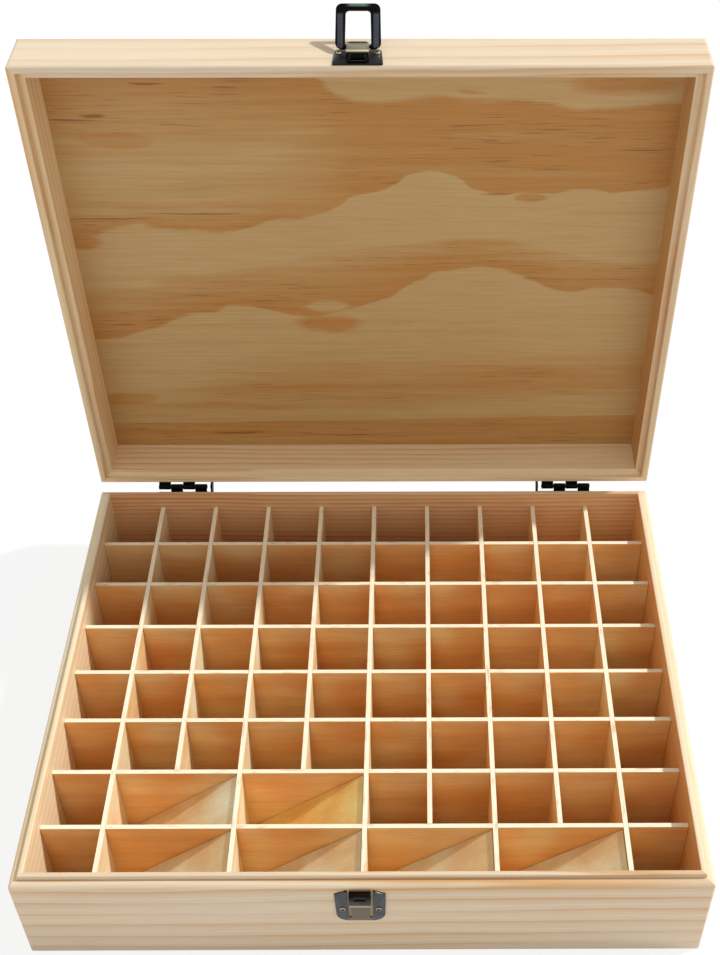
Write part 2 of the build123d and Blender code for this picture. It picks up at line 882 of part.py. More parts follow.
print("pitch of the cells", round(pitch_x, 2), round(pitch_y, 2))
print("bail length", round(bail_length, 3), "latched at", round(latched_angle, 2))
lever_pivot = lid_front.location * Location((0, lever_pivot_up, lever_pivot_out))
print("hinge line", round(hinge_y, 3), round(hinge_z, 3))
print("lever pivot", round(lever_pivot.position.Y, 3), round(lever_pivot.position.Z, 3))
print("bail pivot", round(bail_pivot.position.Y, 3), round(bail_pivot.position.Z, 3))
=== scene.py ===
import json
import math

import bpy
from mathutils import Matrix, Vector

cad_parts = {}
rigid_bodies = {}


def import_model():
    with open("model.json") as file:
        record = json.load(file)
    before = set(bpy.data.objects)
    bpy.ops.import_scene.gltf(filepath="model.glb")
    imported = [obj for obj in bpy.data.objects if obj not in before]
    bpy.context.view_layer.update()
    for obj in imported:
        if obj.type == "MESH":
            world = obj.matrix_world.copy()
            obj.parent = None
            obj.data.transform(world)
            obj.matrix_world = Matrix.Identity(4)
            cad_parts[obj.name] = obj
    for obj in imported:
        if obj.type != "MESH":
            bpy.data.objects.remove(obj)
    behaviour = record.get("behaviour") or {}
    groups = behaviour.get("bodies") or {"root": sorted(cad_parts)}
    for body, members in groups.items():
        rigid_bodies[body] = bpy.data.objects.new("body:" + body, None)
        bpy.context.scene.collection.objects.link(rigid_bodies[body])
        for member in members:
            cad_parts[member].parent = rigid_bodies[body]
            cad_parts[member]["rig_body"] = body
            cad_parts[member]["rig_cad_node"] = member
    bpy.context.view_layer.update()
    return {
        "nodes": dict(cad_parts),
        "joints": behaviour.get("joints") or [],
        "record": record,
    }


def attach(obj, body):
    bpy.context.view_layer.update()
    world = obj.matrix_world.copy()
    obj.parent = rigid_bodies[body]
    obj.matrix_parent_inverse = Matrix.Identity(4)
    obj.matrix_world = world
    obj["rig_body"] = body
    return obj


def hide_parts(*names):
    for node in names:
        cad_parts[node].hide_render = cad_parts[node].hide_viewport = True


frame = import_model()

bl_info = {
    "name": "Essential oil organizer",
    "version": (1, 0, 0),
    "blender": (4, 5, 0),
    "location": "View3D > Sidebar > Oil box",
    "description": "Finishes a wooden bottle case with dividers, hinges and a toggle latch",
    "category": "Object",
}

nodes = frame["nodes"]
lid_joint = next(joint for joint in frame["joints"] if joint["name"] == "lid_hinge")

mm = 0.001

# The turn about the hinge pins that closes the lid, for patterns that are placed on a closed lid
lid_turn = Matrix.Rotation(math.radians(lid_joint["range_deg"][1]), 3, "X")
hinge_point = Vector(lid_joint["pos_m"])
lid_shift = hinge_point - lid_turn @ hinge_point


# Sizes and colours that a user would change


class PineProperties(bpy.types.PropertyGroup):
    """Solid pine of the box and the lid."""

    pale: bpy.props.FloatVectorProperty(
        name="Early wood",
        description="Pale wood between the lines of the grain",
        subtype="COLOR",
        size=3,
        default=(0.79, 0.66, 0.48),
    )
    dark: bpy.props.FloatVectorProperty(
        name="Late wood",
        description="Darker lines of the grain",
        subtype="COLOR",
        size=3,
        default=(0.70, 0.48, 0.27),
    )
    ring: bpy.props.FloatProperty(
        name="Ring width",
        description="Distance between two lines of the grain",
        unit="LENGTH",
        default=9.5 * mm,
    )
    roughness: bpy.props.FloatProperty(
        name="Roughness", description="How dull the sanded wood is", default=0.62, min=0, max=1
    )


class PlywoodProperties(bpy.types.PropertyGroup):
    """Plywood of the panels, dividers and ramps."""

    panel_pale: bpy.props.FloatVectorProperty(
        name="Panel, pale wood",
        description="Pale fields of the lid panel's figure",
        subtype="COLOR",
        size=3,
        default=(0.53, 0.35, 0.145),
    )
    panel_dark: bpy.props.FloatVectorProperty(
        name="Panel, dark bands",
        description="Dark bands of the lid panel's figure",
        subtype="COLOR",
        size=3,
        default=(0.47, 0.215, 0.045),
    )
    crack: bpy.props.FloatVectorProperty(
        name="Panel, cracks",
        description="Fine cracks and dashes in the lid panel's veneer",
        subtype="COLOR",
        size=3,
        default=(0.23, 0.078, 0.018),
    )
    # A pale copy of the divider plywood: painted sunlight, for the faces that run from front to
    # back
    lit_divider_colour: bpy.props.FloatVectorProperty(
        name="Divider face",
        description="Faces of the dividers that run from front to back",
        subtype="COLOR",
        size=3,
        default=(0.97, 0.81, 0.49),
    )
    # A redder copy of the same plywood: painted shade, for the cross dividers and the long
    # dividers' left faces
    shaded_divider_colour: bpy.props.FloatVectorProperty(
        name="Cross divider face",
        description="Faces of the dividers that run from side to side",
        subtype="COLOR",
        size=3,
        default=(0.98, 0.61, 0.25),
    )
    divider_edge: bpy.props.FloatVectorProperty(
        name="Divider edge",
        description="Sawn top edges of the dividers",
        subtype="COLOR",
        size=3,
        default=(0.96, 0.84, 0.62),
    )
    golden_ramp: bpy.props.FloatVectorProperty(
        name="Golden ramp face",
        description="Faces of the one ramp that is yellower",
        subtype="COLOR",
        size=3,
        default=(0.95, 0.68, 0.22),
    )
    ramp_face: bpy.props.FloatVectorProperty(
        name="Ramp face",
        description="Faces of the ramps",
        subtype="COLOR",
        size=3,
        default=(0.90, 0.76, 0.46),
    )


class MetalProperties(bpy.types.PropertyGroup):
    """Antiqued metal of the latch and the hinges."""

    brass: bpy.props.FloatVectorProperty(
        name="Brass",
        description="Antiqued faces of the latch",
        subtype="COLOR",
        size=3,
        default=(0.075, 0.062, 0.045),
    )
    rubbed: bpy.props.FloatVectorProperty(
        name="Rubbed edges",
        description="Edges where the antiquing has worn off",
        subtype="COLOR",
        size=3,
        default=(0.62, 0.50, 0.30),
    )
    bronze: bpy.props.FloatVectorProperty(
        name="Bronze",
        description="Dark faces of the bail and the hinges",
        subtype="COLOR",
        size=3,
        default=(0.022, 0.02, 0.02),
    )
    lever: bpy.props.FloatVectorProperty(
        name="Lever",
        description="Top of the lever",
        subtype="COLOR",
        size=3,
        default=(0.24, 0.205, 0.125),
    )
    bail: bpy.props.FloatVectorProperty(
        name="Bail",
        description="Legs of the bail",
        subtype="COLOR",
        size=3,
        default=(0.055, 0.062, 0.073),
    )
    ears: bpy.props.FloatVectorProperty(
        name="Strike ears",
        description="Both sides of the strike",
        subtype="COLOR",
        size=3,
        default=(0.083, 0.087, 0.092),
    )
    edge: bpy.props.FloatProperty(
        name="Edge width",
        description="Width of the rounded edges",
        unit="LENGTH",
        default=0.14 * mm,
    )


class StageProperties(bpy.types.PropertyGroup):
    """Camera, floor and light."""

    place: bpy.props.FloatVectorProperty(
        name="Camera",
        description="Where the camera stands",
        subtype="TRANSLATION",
        size=3,
        default=(26.65 * mm, -485.04 * mm, 637.48 * mm),
    )
    pitch: bpy.props.FloatProperty(
        name="Pitch",
        description="How far it looks down",
        subtype="ANGLE",
        default=math.radians(44.14),
    )
    yaw: bpy.props.FloatProperty(
        name="Yaw",
        description="How far it turns to the right",
        subtype="ANGLE",
        default=math.radians(0.35),
    )
    roll: bpy.props.FloatProperty(
        name="Roll",
        description="How far it leans",
        subtype="ANGLE",
        default=math.radians(0.11),
    )
    focal_pixels: bpy.props.FloatProperty(
        name="Focal length", description="In pixels of the picture", default=1384.27
    )
    centre_x: bpy.props.FloatProperty(
        name="Axis across", description="Pixel column that the lens's axis meets", default=423.85
    )
    centre_y: bpy.props.FloatProperty(
        name="Axis down", description="Pixel row that the lens's axis meets", default=519.72
    )
    sun_strength: bpy.props.FloatProperty(
        name="Key light", description="Strength of the key light", default=2.8, min=0
    )
    fill_strength: bpy.props.FloatProperty(
        name="Fill light", description="Strength of the light from all sides", default=0.6, min=0
    )


# Short ways to build a material's nodes


class Finish:
    """A material, and short ways to add and join the nodes of its pattern."""

    def __init__(self, name):
        self.material = bpy.data.materials.new(name)
        self.material.use_nodes = True
        self.tree = self.material.node_tree
        self.shader = self.tree.nodes["Principled BSDF"]

    def add(self, kind, **settings):
        node = self.tree.nodes.new(kind)
        for key, value in settings.items():
            setattr(node, key, value)
        return node

    def feed(self, socket, value):
        if isinstance(value, bpy.types.NodeSocket):
            self.tree.links.new(value, socket)
        else:
            socket.default_value = value

    def math(self, operation, *values):
        node = self.add("ShaderNodeMath", operation=operation)
        for socket, value in zip(node.inputs, values):
            self.feed(socket, value)
        return node.outputs[0]

    def vector(self, operation, *values):
        node = self.add("ShaderNodeVectorMath", operation=operation)
        for socket, value in zip(node.inputs, values):
            self.feed(socket, value)
        return node.outputs["Value" if operation in ("LENGTH", "DOT_PRODUCT") else "Vector"]

    def mix(self, factor, first, second, blend="MIX"):
        node = self.add("ShaderNodeMix", data_type="RGBA", blend_type=blend)
        self.feed(node.inputs["Factor"], factor)
        self.feed(node.inputs[6], colour(first))
        self.feed(node.inputs[7], colour(second))
        return node.outputs[2]

    def tint(self, base, tone):
        """A colour multiplied by another colour or by a grey."""
        return self.mix(1.0, base, tone, "MULTIPLY")

    def less(self, value):
        """What is left of 1."""
        return self.math("SUBTRACT", 1.0, value)

    def both(self, first, second):
        """1 only where both are."""
        return self.math("MULTIPLY", first, second)

    def between(self, where, first, last):
        """A number that goes from first to last while where goes from 0 to 1."""
        return self.math("MULTIPLY_ADD", where, last - first, first)

    def ramp(self, factor, *stops):
        """Grey values at given places between 0 and 1."""
        node = self.add("ShaderNodeValToRGB")
        elements = node.color_ramp.elements
        while len(elements) < len(stops):
            elements.new(1)
        for element, (place, value) in zip(elements, stops):
            element.position = place
            element.color = (value, value, value, 1)
        self.feed(node.inputs[0], factor)
        return node.outputs[0]

    def step(self, value, low, high):
        """0 below low and 1 above high, with a soft rise between them."""
        node = self.add("ShaderNodeMapRange", interpolation_type="SMOOTHSTEP")
        for socket, given in zip(node.inputs, (value, low, high)):
            self.feed(socket, given)
        return node.outputs[0]

    def curve(self, factor, points):
        """A smooth line through points whose parts lie between 0 and 1."""
        node = self.add("ShaderNodeFloatCurve")
        line = node.mapping.curves[0]
        line.points[0].location = points[0]
        line.points[1].location = points[-1]
        for point in points[1:-1]:
            line.points.new(*point)
        node.mapping.update()
        self.feed(node.inputs["Value"], factor)
        return node.outputs[0]

    def patch(self, place, middle, radii, soft=0.35):
        """1 inside an ellipse that lies flat in X and Y, fading out at its edge."""
        away = self.vector("SUBTRACT", place, (*middle, 0))
        away = self.vector("DIVIDE", away, (*radii, 1))
        away = self.vector("LENGTH", self.vector("MULTIPLY", away, (1, 1, 0)))
        return self.less(self.step(away, 1 - soft, 1 + soft))

    def noise(self, place, grain, detail, roughness):
        """Values round a half. grain is how fine they are, one number or one for each axis."""
        if isinstance(grain, tuple):
            place, grain = self.vector("MULTIPLY", place, grain), 1.0
        node = self.add("ShaderNodeTexNoise")
        self.feed(node.inputs["Vector"], place)
        node.inputs["Scale"].default_value = grain
        node.inputs["Detail"].default_value = detail
        node.inputs["Roughness"].default_value = roughness
        return node.outputs[0]

    def wave(self, place, *noise):
        """The same noise round 0."""
        return self.math("SUBTRACT", self.noise(place, *noise), 0.5)

    def place(self, lid=False):
        """Object coordinates, for the lid as if it were closed."""
        coordinates = self.add("ShaderNodeTexCoord").outputs["Object"]
        if not lid:
            return coordinates
        mapping = self.add("ShaderNodeMapping", vector_type="POINT")
        mapping.inputs["Location"].default_value = lid_shift
        mapping.inputs["Rotation"].default_value = lid_turn.to_euler()
        self.feed(mapping.inputs["Vector"], coordinates)
        return mapping.outputs[0]

    def parts(self, vector):
        """A vector's parts, by the names of the axes."""
        node = self.add("ShaderNodeSeparateXYZ")
        self.feed(node.inputs[0], vector)
        return node.outputs

    def swap(self, vector, order):
        """A vector's parts in another order, such as YXZ."""
        parts = self.parts(vector)
        whole = self.add("ShaderNodeCombineXYZ")
        for socket, axis in zip(whole.inputs, order):
            self.feed(socket, parts[axis])
        return whole.outputs[0]

    def relief(self, height, distance, strength):
        bump = self.add("ShaderNodeBump")
        bump.inputs["Strength"].default_value = strength
        bump.inputs["Distance"].default_value = distance
        self.feed(bump.inputs["Height"], height)
        self.feed(self.shader.inputs["Normal"], bump.outputs[0])

    def set(self, **values):
        for key, value in values.items():
            self.feed(self.shader.inputs[key.replace("_", " ")], value)


def colour(value):
    if isinstance(value, bpy.types.NodeSocket):
        return value
    return (*value[:3], 1)


# Figure of the lid's panel. Its lines run from left to right over the panel's width, and are
# counted down from the latch's side, both as shares of the figure's size. Patches, gaps and cracks
# are ellipses: middle and radii, across and towards the hinges, and how strong they are.

figure_width = 320 * mm
figure_height = 260 * mm
figure_lines = {
    "crown_top": (
        (0, 0), (0.36, 0.0), (0.42, 0.035), (0.47, 0.075), (0.54, 0.085), (0.6, 0.08), (0.68, 0.09),
        (0.79, 0.09), (0.83, 0.1), (0.9, 0.1), (0.95, 0.09), (1, 0.095),
    ),
    "crown_foot": (
        (0, 0.415), (0.03, 0.4), (0.08, 0.382), (0.19, 0.388), (0.25, 0.392), (0.3, 0.383),
        (0.35, 0.363), (0.4, 0.354), (0.44, 0.34), (0.49, 0.306), (0.55, 0.285), (0.565, 0.264),
        (0.6, 0.255), (0.64, 0.262), (0.67, 0.28), (0.7, 0.292), (0.74, 0.3), (0.8, 0.302),
        (0.85, 0.298), (0.9, 0.3), (1, 0.285),
    ),
    "band_top": (
        (0, 0.55), (0.12, 0.52), (0.22, 0.495), (0.33, 0.47), (0.43, 0.44), (0.55, 0.427),
        (0.69, 0.41), (0.79, 0.43), (0.9, 0.47), (1, 0.477),
    ),
    "band_foot": (
        (0, 0.68), (0.05, 0.67), (0.1, 0.65), (0.16, 0.62), (0.22, 0.604), (0.26, 0.586),
        (0.31, 0.592), (0.39, 0.616), (0.43, 0.603), (0.49, 0.587), (0.54, 0.56), (0.58, 0.52),
        (0.625, 0.497), (0.7, 0.492), (0.76, 0.507), (0.8, 0.526), (0.835, 0.546), (0.86, 0.547),
        (0.9, 0.537), (0.96, 0.545), (1, 0.56),
    ),
    "low_top": (
        (0, 0.86), (0.14, 0.805), (0.3, 0.73), (0.42, 0.715), (0.55, 0.722), (0.7, 0.7), (1, 0.7),
    ),
    "low_foot": (
        (0, 0.86), (0.25, 0.857), (0.42, 0.85), (0.55, 0.828), (0.74, 0.8), (0.92, 0.798),
        (1, 0.77),
    ),
    "seam": ((0, 0.93), (0.5, 0.919), (1, 0.906)),
}
figure_patches = (
    ((-129 * mm, -83 * mm), (23 * mm, 6 * mm), 0.8),
    ((-154 * mm, -104 * mm), (14 * mm, 13 * mm), 0.55),
    ((-156 * mm, -22 * mm), (11 * mm, 6 * mm), 0.95),
    ((-147 * mm, 92 * mm), (20 * mm, 4.2 * mm), 0.85),
    ((-143 * mm, 104 * mm), (24 * mm, 3 * mm), 0.45),
    ((-24 * mm, 34.5 * mm), (17 * mm, 6.2 * mm), 0.95),
    ((72 * mm, -52 * mm), (13 * mm, 1.3 * mm), 0.8),
    ((87 * mm, -49 * mm), (9 * mm, 2.2 * mm), 1.0),
    ((131 * mm, -115 * mm), (26 * mm, 4.5 * mm), 0.9),
    ((54 * mm, -109 * mm), (7 * mm, 1.4 * mm), 0.6),
)
figure_gaps = (
    ((-24.5 * mm, 22.5 * mm), (12 * mm, 3.6 * mm), 0.9),
    ((131 * mm, -106 * mm), (12 * mm, 1.6 * mm), 0.8),
)
figure_cracks = (
    ((-147 * mm, -94.7 * mm), (13 * mm, 0.5 * mm)),
    ((-137 * mm, -97 * mm), (6 * mm, 1.0 * mm)),
    ((-138 * mm, -35.5 * mm), (22 * mm, 0.45 * mm)),
    ((-92 * mm, -38.9 * mm), (26 * mm, 0.35 * mm)),
    ((-108 * mm, -115 * mm), (8 * mm, 0.7 * mm)),
    ((-84 * mm, 119.5 * mm), (16 * mm, 0.9 * mm)),
    ((-20 * mm, 121 * mm), (24 * mm, 0.4 * mm)),
    ((51 * mm, -91.6 * mm), (9 * mm, 0.35 * mm)),
    ((144 * mm, -77 * mm), (14 * mm, 0.35 * mm)),
    ((70 * mm, -51.5 * mm), (7 * mm, 0.4 * mm)),
)
crack_strength = 0.75
crack_softness = 0.5

# How far the figure's lines, patches and cracks wander: a share of its height, then lengths
line_wander = 0.045
patch_wander = 12 * mm
crack_wander = 4 * mm

# Half the width of a band's sharp edge and of the seam, as shares of the figure's height
band_edge = 0.005
seam_edge = 0.002

# The crown: the power by which it darkens towards its foot, at the left and at the right, how dark
# its upper part is there, and where each changes from left to right
crown_power = (6.0, 1.4)
crown_power_place = (-130 * mm, 10 * mm)
upper_share = (0.85, 1.05)
upper_place = (-150 * mm, -50 * mm)
upper_fade = (0.05, 0.85)
field_share = 0.97
field_place = (-85 * mm, 15 * mm)
crown_share = 0.9
crown_top_edge = 0.02

# The band under it, the faint low one and the strip beyond the seam
band_power = 0.45
band_share = 1.0
low_share = 0.6
low_start = (-0.02, 0.1)
low_end = 0.09
strip_share = 0.75

# Streaks that shift the bands' tone either way, and short dark dashes, which come in groups and
# keep to the brown wood
streak_shift = 0.75
dash_size = (0.59, 0.67)
dash_groups = (0.42, 0.56)
dash_share = (0.12, 0.65)

# Noises: how fine, in order along, across and through the wood, then their detail and roughness
drift_noise = ((3, 2, 2), 1.0, 0.5)
wander_noise = ((9, 60, 60), 2.0, 0.5)
ring_strength_noise = ((4, 45, 45), 1.0, 0.5)
pine_fibre_noise = ((40, 1500, 1500), 3.0, 0.6)
figure_noise = ((22, 70, 1), 3.0, 0.6)
streak_noise = ((7, 190, 1), 4.0, 0.6)
dash_noise = ((38, 1300, 1), 2.0, 0.5)
dash_group_noise = ((14, 30, 1), 1.0, 0.5)
panel_fibre_noise = ((25, 900, 1), 3.0, 0.6)
sheet_noise = ((9, 90, 90), 3.0, 0.55)
sheet_fibre_noise = ((60, 1500, 1500), 2.0, 0.6)
sheet_tone_noise = (26, 1.0, 0.5)
fleck_noise = ((90, 500, 500), 2.0, 0.6)

# The same for metal, alike along all axes
patina_noise = (380, 3.0, 0.55)
sheen_noise = (900, 2.0, 0.5)
bare_noise = (700, 2.0, 0.5)

# Values of a noise, and the shades or shares that they stand for
ring_strength = ((0.32, 0.25), (0.68, 1.0))
pine_fibre_shade = ((0.25, 0.93), (0.75, 1.04))
panel_fibre_shade = ((0.25, 0.89), (0.75, 1.07))
sheet_fibre_shade = ((0.25, 0.88), (0.75, 1.06))
sheet_grain = ((0.3, 0.0), (0.7, 1.0))
sheet_tone = (0.35, 0.65)
patina = ((0.54, 0.0), (0.75, 0.22))
sheen = (0.3, 0.7)

# Growth rings of pine: how dark they are from start to end, and the same for the fine lines, of
# which three lie in each ring. A ring strays by the drift over the whole board, and by the wander
# over a few centimetres.
ring_profile = ((0.0, 0.05), (0.4, 0.1), (0.78, 0.6), (0.9, 1.0), (1.0, 0.05))
fine_profile = ((0.0, 0.0), (0.5, 0.1), (0.8, 0.4), (1.0, 0.0))
fine_lines = 3.0
fine_start = 0.4
ring_drift = 16 * mm
ring_wander = 4.5 * mm

# Tones that the plywood's sheets are multiplied by, and the flecks on their sawn edges
grain_tone = (0.87, 0.76, 0.66)
redder_tone = (0.97, 0.84, 0.7)
paler_tone = (1.01, 1.14, 1.3)
fleck_colour = (0.62, 0.38, 0.18)
fleck_size = (0.56, 0.72)
fleck_share = 0.55

# A face whose normal lies along an axis by more than this looks that way
facing = 0.7

# Depth of the grain's relief and how strong it is
pine_relief = (0.05 * mm, 0.35)
plywood_relief = (0.04 * mm, 0.3)
metal_relief = (0.03 * mm, 0.4)

# Roughness
panel_dullness = 0.6
sheet_dullness = 0.65
brass_dullness = 0.32
bronze_dullness = 0.35
rubbed_dullness = 0.28
nail_dullness = 0.3
patina_spread = 0.2

# How dark bare metal gets in places, and the dark bronze beside the plain one
bare_dark_share = 0.6
black_share = 0.35

# How far the latch stands left of the middle
latch_aside = 1.2 * mm

# Where the latch's finish changes: start and end of each change, with the lid open. They are
# distances from its middle, depths and heights, as the functions below say.
lever_far_edge = (145.6 * mm, 146.3 * mm)
lever_highlight_edge = (134.4 * mm, 135.2 * mm)
lever_shaded_front = (133.3 * mm, 134.0 * mm)
plate_ears_out = (7 * mm, 11 * mm)
plate_ears_back = (134 * mm, 141 * mm)
bail_middle = (2.5 * mm, 6.5 * mm)
bail_leg = 8.6 * mm
bail_leg_sides = (0.9 * mm, 1.7 * mm)
bail_head = (351.0 * mm, 352.0 * mm)
bail_crest_highlight = (353.6 * mm, 354.3 * mm)
bail_foot_start = (350.8 * mm, 351.2 * mm)
bail_foot_end = (352.0 * mm, 352.6 * mm)
strike_ears = (5.6 * mm, 6.4 * mm)
strike_lip = (46.6 * mm, 47.2 * mm)
strike_hook = (48.6 * mm, 49.4 * mm)
strike_slot = (51.5 * mm, 53.0 * mm)
strike_top = (55.6 * mm, 56.2 * mm)

# The nails' heads: axes across and along the latch's sheet, and where each pair lies on it
strike_nails = ("XZY", (8.65 * mm, 40.8 * mm))
plate_nails = ("XYZ", (9.2 * mm, 142.5 * mm))
nail_spot = 0.95 * mm
nail_spot_edge = 0.2

tones = {
    "lever far edge": (0.02, 0.03, 0.02),
    # Painted highlight on the lever's near edge
    "lever near edge highlight": (0.62, 0.56, 0.38),
    # Painted shade on the lever's front
    "lever front shade": (0.006, 0.006, 0.006),
    # Painted highlight on the plate's ears
    "plate ears highlight": (0.07, 0.08, 0.095),
    # Painted shade on the bail's sides and bar
    "bail": (0.006, 0.006, 0.007),
    # Painted highlight on the bar's crest
    "bail crest highlight": (0.12, 0.19, 0.14),
    "bail foot": (0.2, 0.08, 0.035),
    "strike pad": (0.17, 0.135, 0.1),
    # Painted highlight on the strike's lip
    "strike lip highlight": (0.42, 0.34, 0.19),
    # Painted shade on the hook, under its lip
    "strike hook shade": (0.045, 0.042, 0.036),
    # Painted shade in the slot
    "strike slot shade": (0.02, 0.018, 0.017),
    # Painted shade on the top, where the key light would catch it
    "strike top shade": (0.014, 0.006, 0.004),
    "nail": (0.03, 0.008, 0.005),
}

# Space between the boards' inner faces, a little enlarged, in the box and in the lid
box_inside = (321.4 * mm, 261.4 * mm)
lid_inside = (319.8 * mm, 259.8 * mm)


# Finishes


def pine(name, settings, order, heart, lid, tone, inner_tone_and_shade, share, contrast):
    """Pine board with growth rings round a heart that lies beside it.

    order names the axes that run along, across and through the board, and heart is the middle of
    the rings, across and through. tone and the inner tone multiply the colours of the whole board
    and of its face towards the inside; tone is partly painted light and shade, and the inner tone
    is painted shade and bounced light. share sets how narrow its rings are, and contrast how dark.
    """
    finish = Finish(name)
    whole = finish.place(lid)
    place = finish.swap(whole, order)
    drift = finish.wave(place, *drift_noise)
    wander = finish.wave(place, *wander_noise)
    flat = finish.vector("MULTIPLY", place, (0, 1, 1))
    radius = finish.vector("LENGTH", finish.vector("SUBTRACT", flat, (0, *heart)))
    radius = finish.math("ADD", radius, finish.math("MULTIPLY", drift, ring_drift))
    radius = finish.math("ADD", radius, finish.math("MULTIPLY", wander, ring_wander))
    turns = finish.math("DIVIDE", radius, settings.ring * share)
    late = finish.ramp(finish.math("FRACT", turns), *ring_profile)
    fine = finish.math("FRACT", finish.math("MULTIPLY_ADD", turns, fine_lines, fine_start))
    late = finish.math("MAXIMUM", late, finish.ramp(fine, *fine_profile))
    strength = finish.ramp(finish.noise(place, *ring_strength_noise), *ring_strength)
    late = finish.both(late, strength)
    fibres = finish.noise(place, *pine_fibre_noise)
    dark = [p + contrast * (d - p) for p, d in zip(settings.pale, settings.dark)]
    base = finish.mix(late, settings.pale, dark)
    base = finish.tint(base, finish.ramp(fibres, *pine_fibre_shade))
    base = finish.tint(base, tone)
    away = finish.parts(finish.vector("ABSOLUTE", whole))
    width, depth = lid_inside if lid else box_inside
    inside = finish.both(
        finish.math("LESS_THAN", away["X"], width / 2),
        finish.math("LESS_THAN", away["Y"], depth / 2),
    )
    # Inner faces darker and warmer: painted shade and bounced light
    base = finish.mix(inside, base, finish.tint(base, inner_tone_and_shade))
    finish.set(Base_Color=base, Roughness=settings.roughness)
    finish.relief(finish.math("ADD", fibres, late), *pine_relief)
    return finish.material


def lid_plywood(settings):
    """Rotary cut veneer with broad flame-shaped bands, as on the lid's panel."""
    finish = Finish("lid_plywood")
    place = finish.place(lid=True)
    parts = finish.parts(place)
    across = parts["X"]
    along = finish.math("MULTIPLY_ADD", across, 1 / figure_width, 0.5)
    straight = finish.math("MULTIPLY_ADD", parts["Y"], 1 / figure_height, 0.5)
    wander = finish.wave(place, *figure_noise)
    down = finish.math("MULTIPLY_ADD", wander, line_wander, straight)
    lines = {name: finish.curve(along, points) for name, points in figure_lines.items()}

    def under(name, low, high):
        """0 above a line of the figure and 1 below it."""
        return finish.step(finish.math("SUBTRACT", down, lines[name]), low, high)

    def depth(top, foot):
        """0 at one line and 1 at the next."""
        start = finish.math("SUBTRACT", down, lines[top])
        return finish.math("DIVIDE", start, finish.math("SUBTRACT", lines[foot], lines[top]))

    def flame(top, foot, power, share):
        """A band that starts softly at one line and ends sharply at another."""
        tone = finish.math("POWER", finish.math("MAXIMUM", depth(top, foot), 0.0), power)
        inside = finish.less(under(foot, -band_edge, band_edge))
        return finish.math("MULTIPLY", finish.both(tone, inside), share)

    # The crown: narrow and sharp at the left, a full field at the right, dark along its top
    power = finish.between(finish.step(across, *crown_power_place), *crown_power)
    crown = flame("crown_top", "crown_foot", power, crown_share)
    within = depth("crown_top", "crown_foot")
    inside = finish.both(
        under("crown_top", 0.0, crown_top_edge), finish.math("LESS_THAN", within, 1.0)
    )
    upper = finish.both(
        finish.less(finish.step(within, *upper_fade)),
        finish.between(finish.step(across, *upper_place), *upper_share),
    )
    field = finish.math("MULTIPLY", finish.step(across, *field_place), field_share)
    body = finish.both(finish.math("MAXIMUM", upper, field), inside)
    band = finish.math("MAXIMUM", crown, body)
    next_band = flame("band_top", "band_foot", band_power, band_share)
    band = finish.math("MAXIMUM", band, next_band)
    low = finish.both(under("low_top", *low_start), finish.less(under("low_foot", 0.0, low_end)))
    band = finish.math("MAXIMUM", band, finish.math("MULTIPLY", low, low_share))

    bent = finish.vector("ADD", place, finish.vector("MULTIPLY", (0, patch_wander, 0), wander))
    for middle, radii, share in figure_patches:
        spot = finish.patch(bent, middle, radii)
        band = finish.math("MAXIMUM", band, finish.math("MULTIPLY", spot, share))
    for middle, radii, share in figure_gaps:
        gap = finish.math("MULTIPLY", finish.patch(bent, middle, radii), share)
        band = finish.both(band, finish.less(gap))

    # A straight seam between two sheets of veneer
    beyond = finish.math("SUBTRACT", straight, lines["seam"])
    strip = finish.step(beyond, -seam_edge, seam_edge)
    band = finish.math("MAXIMUM", band, finish.math("MULTIPLY", strip, strip_share))

    streaks = finish.noise(place, *streak_noise)
    band = finish.math("ADD", band, finish.between(streaks, -streak_shift, streak_shift))
    base = finish.mix(band, settings.panel_pale, settings.panel_dark)
    dashes = finish.both(
        finish.step(finish.noise(place, *dash_noise), *dash_size),
        finish.step(finish.noise(place, *dash_group_noise), *dash_groups),
    )
    least, most = dash_share
    often = finish.math("MINIMUM", finish.math("MAXIMUM", band, least), most)
    base = finish.mix(finish.both(dashes, often), base, settings.crack)
    slight = finish.vector("ADD", place, finish.vector("MULTIPLY", (0, crack_wander, 0), wander))
    for middle, radii in figure_cracks:
        crack = finish.patch(slight, middle, radii, crack_softness)
        base = finish.mix(finish.math("MULTIPLY", crack, crack_strength), base, settings.crack)
    fibres = finish.noise(place, *panel_fibre_noise)
    base = finish.tint(base, finish.ramp(fibres, *panel_fibre_shade))
    finish.set(Base_Color=base, Roughness=panel_dullness)
    finish.relief(fibres, *plywood_relief)
    return finish.material


def cut_plywood(name, face, edge, order, shaded_left_face=None):
    """Thin plywood: fine grain on the faces, paler where the sheet is sawn.

    A colour given for the sheet's left side is painted shade on that face. Without an edge's colour
    the whole piece looks like its faces.
    """
    finish = Finish(name)
    place = finish.swap(finish.place(), order)
    looks = finish.parts(finish.add("ShaderNodeTexCoord").outputs["Normal"])
    base = face
    # Painted shade on the left face, which looks away from the key light
    if shaded_left_face:
        base = finish.mix(finish.math("LESS_THAN", looks["X"], -facing), base, shaded_left_face)
    grain = finish.ramp(finish.noise(place, *sheet_noise), *sheet_grain)
    base = finish.mix(grain, base, finish.tint(base, grain_tone))
    tone = finish.step(finish.noise(place, *sheet_tone_noise), *sheet_tone)
    base = finish.mix(tone, finish.tint(base, redder_tone), finish.tint(base, paler_tone))
    if edge:
        flecks = finish.step(finish.noise(place, *fleck_noise), *fleck_size)
        sawn = finish.mix(finish.math("MULTIPLY", flecks, fleck_share), edge, fleck_colour)
        base = finish.mix(finish.math("GREATER_THAN", looks["Z"], facing), base, sawn)
    fibres = finish.noise(place, *sheet_fibre_noise)
    base = finish.tint(base, finish.ramp(fibres, *sheet_fibre_shade))
    finish.set(Base_Color=base, Roughness=sheet_dullness)
    finish.relief(fibres, *plywood_relief)
    return finish.material


